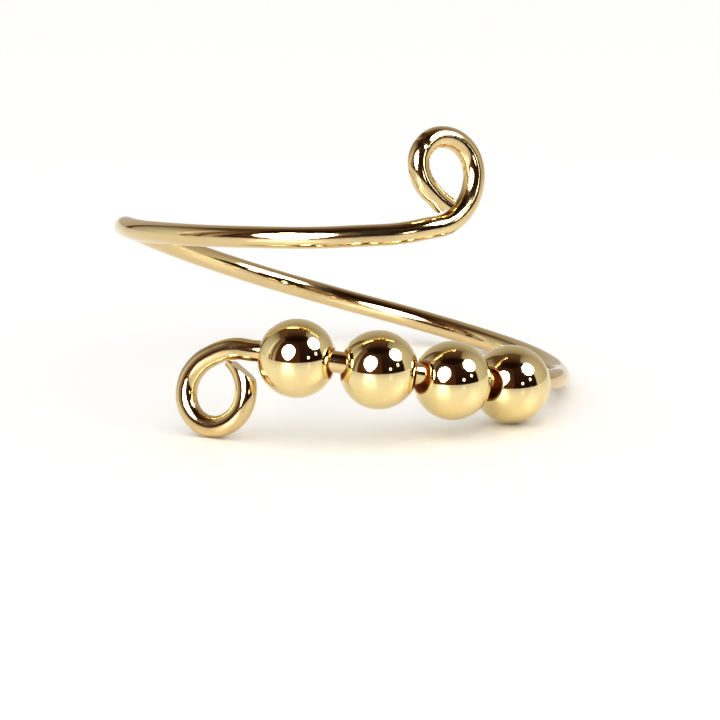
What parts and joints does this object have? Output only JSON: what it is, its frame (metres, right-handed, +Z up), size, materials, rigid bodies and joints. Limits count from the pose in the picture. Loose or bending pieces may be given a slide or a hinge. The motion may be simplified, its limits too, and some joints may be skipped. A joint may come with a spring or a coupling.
{
  "type": "bypass wire ring with loose beads",
  "caption": "Open bypass ring bent from round gold-coloured wire, its cut ends curled into small eyes, with plain round metal beads that turn loosely on the front of the wire.",
  "frame": {"origin": "middle of the bounding box in X and Y, on the surface that the ring rests on", "axes": "+Z up, along the finger hole apart from the ring's lean; -Y towards the side with the beads and the two curled ends; +X to the right seen from there"},
  "size_m": [0.017, 0.018, 0.011],
  "materials": {
    "gold_wire": "gold-plated brass wire, polished, with faint marks of bending",
    "gold_bead": "gold-plated brass, mirror polished, with softened hole rims"
  },
  "bodies": {
    "ring": {"wire": "gold_wire"},
    "bead_1": {"bead_1": "gold_bead"},
    "bead_2": {"bead_2": "gold_bead"},
    "bead_3": {"bead_3": "gold_bead"},
    "bead_4": {"bead_4": "gold_bead"}
  },
  "joints": [
    {"name": "bead_1_spin", "type": "hinge", "parent": "ring", "child": "bead_1", "pos_m": [-0.00163, -0.00745, 0.00302], "axis": [0.9706, -0.2249, -0.0857], "continuous": true},
    {"name": "bead_2_spin", "type": "hinge", "parent": "ring", "child": "bead_2", "pos_m": [0.00133, -0.00759, 0.00263], "axis": [0.976, 0.1286, -0.1757], "continuous": true},
    {"name": "bead_3_spin", "type": "hinge", "parent": "ring", "child": "bead_3", "pos_m": [0.004, -0.00675, 0.00202], "axis": [0.8621, 0.462, -0.2084], "continuous": true},
    {"name": "bead_4_spin", "type": "hinge", "parent": "ring", "child": "bead_4", "pos_m": [0.00618, -0.005, 0.00145], "axis": [0.6392, 0.7454, -0.1893], "continuous": true}
  ]
}
